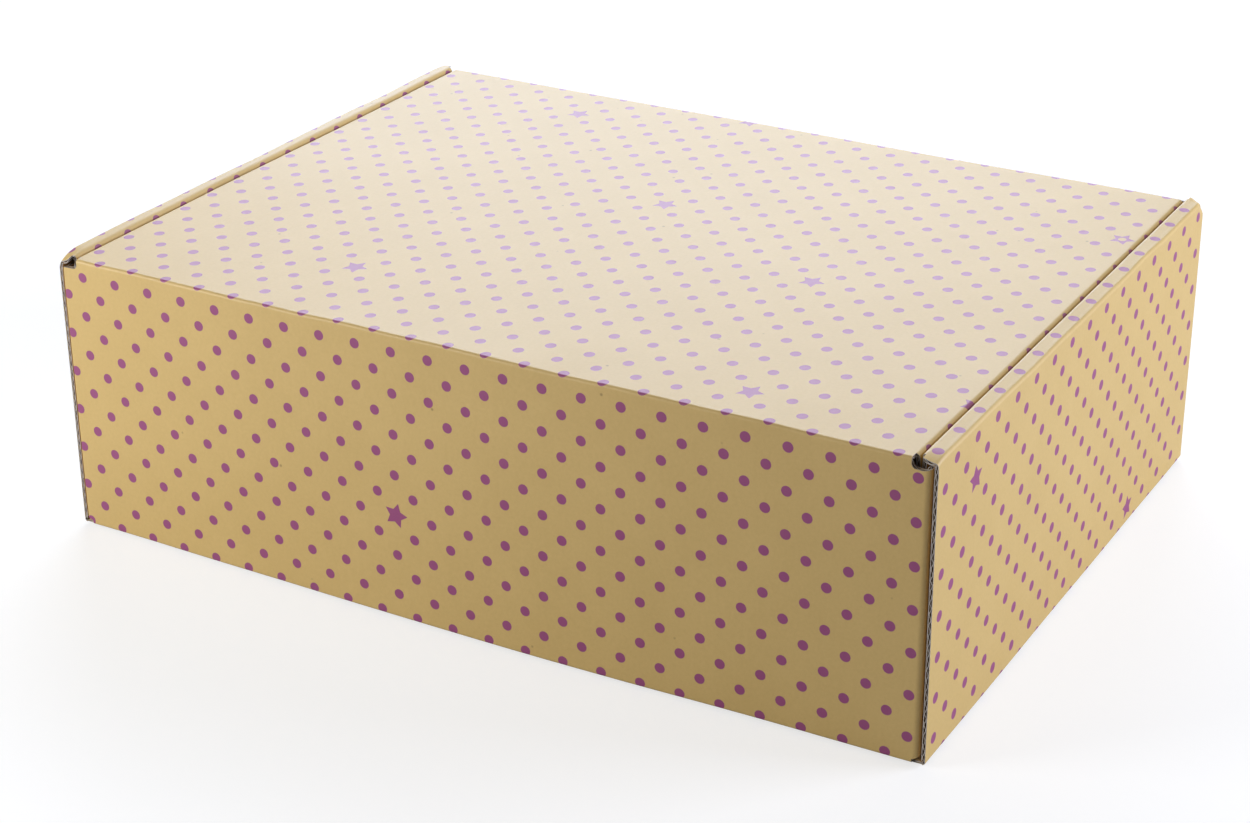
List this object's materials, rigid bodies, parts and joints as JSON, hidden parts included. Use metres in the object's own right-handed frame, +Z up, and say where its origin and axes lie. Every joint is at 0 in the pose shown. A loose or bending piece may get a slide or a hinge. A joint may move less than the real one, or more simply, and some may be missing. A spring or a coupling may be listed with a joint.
{
  "type": "folded mailing box",
  "caption": "Closed corrugated mailing box with rolled side walls, a hinged lid between them, tuck and dust flaps, corner flaps and locking tabs, printed with dots and stars.",
  "frame": {"origin": "centre of the bottom panel's outer face, on the surface the box stands on", "axes": "+X along the lid's hinge, +Y from the tuck flap's side to the hinge side, +Z up"},
  "size_m": [0.3, 0.22, 0.095],
  "materials": {
    "printed_board": "kraft liner over fine flutes, printed outside with mauve dots and stars, matt",
    "plain_board": "plain kraft liner over fine flutes, matt"
  },
  "bodies": {
    "box": {"bottom_panel": "printed_board", "front_wall": "printed_board", "rear_wall": "printed_board", "left_outer_wall": "printed_board", "right_outer_wall": "printed_board", "rear_left_corner_flap": "plain_board", "rear_right_corner_flap": "plain_board", "front_left_corner_flap": "plain_board", "front_right_corner_flap": "plain_board"},
    "lid": {"lid_panel": "printed_board"},
    "tuck": {"tuck_flap": "plain_board"},
    "left_dust": {"left_dust_flap": "plain_board"},
    "right_dust": {"right_dust_flap": "plain_board"},
    "left_roll": {"left_roll_top": "printed_board"},
    "right_roll": {"right_roll_top": "printed_board"},
    "left_inner": {"left_inner_wall": "printed_board", "left_front_tab": "plain_board", "left_rear_tab": "plain_board"},
    "right_inner": {"right_inner_wall": "printed_board", "right_front_tab": "plain_board", "right_rear_tab": "plain_board"}
  },
  "joints": [
    {"name": "lid_hinge", "type": "hinge", "parent": "box", "child": "lid", "pos_m": [0, 0.11, 0.0943], "axis": [-1, 0, 0], "range_deg": [0, 180]},
    {"name": "tuck_flap_fold", "type": "hinge", "parent": "lid", "child": "tuck", "pos_m": [0, -0.1064, 0.09255], "axis": [1, 0, 0], "range_deg": [-7, 75]},
    {"name": "left_dust_flap_fold", "type": "hinge", "parent": "lid", "child": "left_dust", "pos_m": [-0.142, 0, 0.09255], "axis": [0, -1, 0], "range_deg": [0, 80]},
    {"name": "right_dust_flap_fold", "type": "hinge", "parent": "lid", "child": "right_dust", "pos_m": [0.142, 0, 0.09255], "axis": [0, 1, 0], "range_deg": [0, 80]},
    {"name": "left_roll_lift", "type": "hinge", "parent": "box", "child": "left_roll", "pos_m": [-0.15, 0, 0.095], "axis": [0, -1, 0], "range_deg": [0, 30]},
    {"name": "right_roll_lift", "type": "hinge", "parent": "box", "child": "right_roll", "pos_m": [0.15, 0, 0.095], "axis": [0, 1, 0], "range_deg": [0, 30]},
    {"name": "left_inner_wall_fold", "type": "hinge", "parent": "left_roll", "child": "left_inner", "pos_m": [-0.146, 0, 0.09325], "axis": [0, -1, 0], "range_deg": [-30, 0]},
    {"name": "right_inner_wall_fold", "type": "hinge", "parent": "right_roll", "child": "right_inner", "pos_m": [0.146, 0, 0.09325], "axis": [0, 1, 0], "range_deg": [-30, 0]}
  ],
  "couplings": [
    {"joint": "left_inner_wall_fold", "follows": "left_roll_lift", "ratio": -1},
    {"joint": "right_inner_wall_fold", "follows": "right_roll_lift", "ratio": -1}
  ]
}
